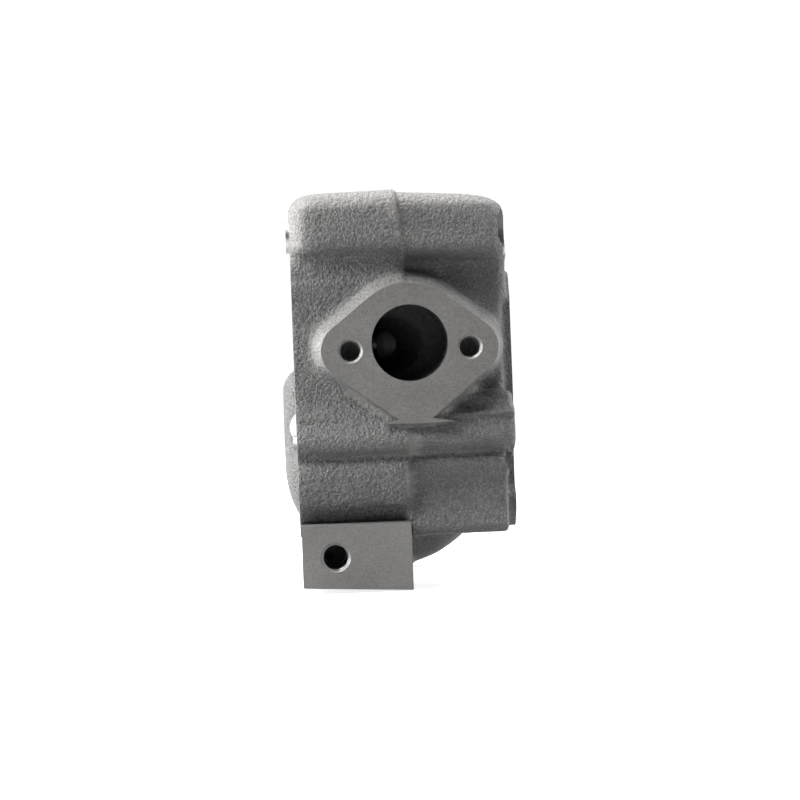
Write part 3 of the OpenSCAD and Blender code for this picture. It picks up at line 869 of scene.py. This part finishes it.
def build_casting():
    obj = raw_casting()
    machine(obj)
    materials = [
        rough_cast("rough_cast_iron", 0.052),
        milled("milled_iron", 0.094),
        milled("bored_iron", 0.11, 0.38, (1.0, 1.0, 1.0), 700),
        # painted shade: a near-black copy of the rough iron for the cored passages
        rough_cast("port_painted_shade", 0.012, 0.7),
    ]
    assign_casting_materials(obj, materials)
    # the mask marks the patches where flash was taken off by grinding, and the smooth places that get a
    # painted highlight
    ground_and_highlight = ground_and_highlight_places(mesh_points(obj.data))
    attribute = obj.data.attributes.new("ground_and_highlight", "FLOAT", "POINT")
    attribute.data.foreach_set("value", ground_and_highlight.astype(np.float32))
    shade(obj)
    to_metres(obj)
    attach(obj, "head")
    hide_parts("head_casting")
    return obj


def add_spring(bm, y, low, high, wire, mean, turns):
    """Round-wire compression spring with closed ends."""
    closed = 2 * wire * 1.08
    free = high - low - 2 * wire - 2 * closed
    steps, sides = 40, 14
    rings = []
    for i in range(int(turns * steps) + 1):
        t = i / steps
        if t < 1:
            rise = closed * t
        elif t > turns - 1:
            rise = closed * (t - turns + 2) + free
        else:
            rise = closed + free * (t - 1) / (turns - 2)
        a = 2 * math.pi * t
        x = low + wire + rise
        ring = []
        for k in range(sides):
            b = 2 * math.pi * k / sides
            r = mean + wire * math.cos(b)
            ring.append((x + wire * math.sin(b), y + r * math.cos(a), r * math.sin(a)))
        rings.append(ring)
    add_loft(bm, rings)


def build_springs(material):
    for side in ("intake", "exhaust"):
        for kind, wire, turns in (("outer", 1.68, 5.5), ("inner", 1.08, 7)):
            node = f"{side}_{kind}_spring"
            low, high = low_high(node)
            mean = (high.y - low.y) / 2 - wire
            size = ((low.y + high.y) / 2, low.x, high.x, wire, mean, turns)
            obj = solid(f"{side}_{kind}_coil", add_spring, *size)
            obj.data.materials.append(material)
            shade(obj, 60)
            to_metres(obj)
            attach(obj, "head")
            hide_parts(node)
            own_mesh(obj)


def build_studs(material):
    """Exhaust studs, threaded at the nut end and plain between."""
    low, high = low_high("exhaust_studs")
    bm = bmesh.new()
    for s in (-1, 1):
        x = EXHAUST_X + s * EXHAUST_PITCH / 2
        add_rod(bm, (x, low.y, EXHAUST_Z), (x, high.y - 15, EXHAUST_Z), 3.9)
        add_thread(bm, (x, high.y - 15.2, EXHAUST_Z), (0, 1, 0), 3.3, 3.95, 1.25, 14.2)
        add_rod(bm, (x, high.y - 1.2, EXHAUST_Z), (x, high.y, EXHAUST_Z), 3.5, 2.9)
    obj = mesh_object("exhaust_stud_bars", bm)
    obj.data.materials.append(material)
    shade(obj)
    to_metres(obj)
    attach(obj, "head")
    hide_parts("exhaust_studs")


def dress_cad_nodes():
    """Finishes for the turned and pressed pieces, whose CAD shapes are shown as they are."""
    finishes = {
        "valve_steel": finished("valve_steel", (0.13, 0.125, 0.12), 0.5, lay=(6, 1, 1)),
        "seat_alloy": finished("seat_alloy", (0.36, 0.36, 0.37), 0.28),
        "guide_iron": finished("guide_iron", (0.05, 0.05, 0.05), 0.6, 0.3),
        "seal_rubber": finished("seal_rubber", (0.02, 0.07, 0.04), 0.5, 0.0, 900),
        "washer_steel": finished("washer_steel", (0.25, 0.25, 0.26), 0.42),
        "black_steel": finished("black_steel", (0.035, 0.035, 0.04), 0.6, 0.1),
        "bright_steel": finished("bright_steel", (0.32, 0.32, 0.33), 0.36),
        "insert_alloy": finished("insert_alloy", (0.20, 0.19, 0.18), 0.5),
        "zinc_yellow": finished("zinc_yellow", (0.46, 0.36, 0.18), 0.38),
    }
    slots = {s["node"]: s["material_slot"] for s in frame["record"]["subparts"]}
    for node, obj in frame["nodes"].items():
        material = finishes.get(slots[node])
        if material is None:
            continue
        obj.data.materials.clear()
        obj.data.materials.append(material)
    return finishes


# ---------- the studio ----------

VIEW_DISTANCE = 1100 * MM
LENS = 118.8
YAW = 2.33
PITCH = 0.76
ROLL = 2.2
FRONT_LIGHT = 0.1


def place_camera():
    """Looks along +Y from the intake side, rolled so that the head leans to the left."""
    target = Vector((43.5, INTAKE_Y, -23.7)) * MM
    yaw, pitch, roll = (math.radians(a) for a in (YAW, PITCH, ROLL))
    forward = Vector((math.sin(yaw), math.cos(yaw) * math.cos(pitch), -math.sin(pitch))).normalized()
    right = forward.cross(Vector((0, 0, 1))).normalized()
    up = right.cross(forward)
    tilted_right = right * math.cos(roll) - up * math.sin(roll)
    tilted_up = up * math.cos(roll) + right * math.sin(roll)
    camera = bpy.data.objects.new("camera", bpy.data.cameras.new("camera"))
    camera.data.lens = LENS
    camera.data.clip_start = 0.05
    rotation = Matrix((tilted_right, tilted_up, -forward)).transposed()
    camera.matrix_world = Matrix.Translation(target - forward * VIEW_DISTANCE) @ rotation.to_4x4()
    bpy.context.scene.collection.objects.link(camera)
    bpy.context.scene.camera = camera


def area_light(name, place, aim, size, power):
    lamp = bpy.data.lights.new(name, "AREA")
    lamp.shape = "RECTANGLE"
    lamp.size, lamp.size_y = size
    lamp.energy = power
    obj = bpy.data.objects.new(name, lamp)
    obj.location = place
    obj.rotation_euler = (Vector(aim) - Vector(place)).to_track_quat("-Z", "Y").to_euler()
    bpy.context.scene.collection.objects.link(obj)


def white_tent(world):
    """A white surround that is dim only on the side the head is looked at from."""
    world.use_nodes = True
    nodes, links = world.node_tree.nodes, world.node_tree.links
    way = nodes.new("ShaderNodeSeparateXYZ")
    links.new(nodes.new("ShaderNodeTexCoord").outputs["Generated"], way.inputs["Vector"])
    fade = nodes.new("ShaderNodeMapRange")
    fade.interpolation_type = "SMOOTHSTEP"
    fade.inputs["From Min"].default_value = -0.75
    fade.inputs["From Max"].default_value = 0.05
    fade.inputs["To Min"].default_value = FRONT_LIGHT
    fade.inputs["To Max"].default_value = 1.05
    links.new(way.outputs["Y"], fade.inputs["Value"])
    links.new(fade.outputs["Result"], nodes["Background"].inputs["Strength"])
    nodes["Background"].inputs["Color"].default_value = (1, 1, 1, 1)


def build_studio():
    scene = bpy.context.scene
    scene.world = bpy.data.worlds.new("studio")
    white_tent(scene.world)
    scene.view_settings.view_transform = "Standard"
    middle = (0.044, 0.0, -0.02)
    area_light("key", (-0.45, -0.42, 0.74), middle, (0.28, 0.28), 20)
    area_light("top_box", (0.05, 0.15, 0.85), middle, (0.7, 0.7), 20)
    area_light("left_box", (-0.85, 0.0, 0.15), middle, (0.7, 0.8), 52)
    area_light("right_box", (0.95, 0.15, 0.25), middle, (0.6, 0.8), 14)
    bm = bmesh.new()
    bmesh.ops.create_grid(bm, x_segments=1, y_segments=1, size=4.0)
    floor = mesh_object("floor", bm)
    floor.location.z = cad_bounds[0][2] - 0.0004
    paper, _, _, shader, _ = node_tree("paper")
    shader.inputs["Base Color"].default_value = (0.28, 0.28, 0.28, 1)
    shader.inputs["Roughness"].default_value = 0.9
    shader.inputs["Emission Color"].default_value = (1, 1, 1, 1)
    shader.inputs["Emission Strength"].default_value = 0.8
    floor.data.materials.append(paper)


place_camera()
build_studio()
finishes = dress_cad_nodes()
build_casting()
build_springs(finished("spring_steel", (0.10, 0.11, 0.13), 0.4, 0.9, 800))
build_studs(finishes["black_steel"])
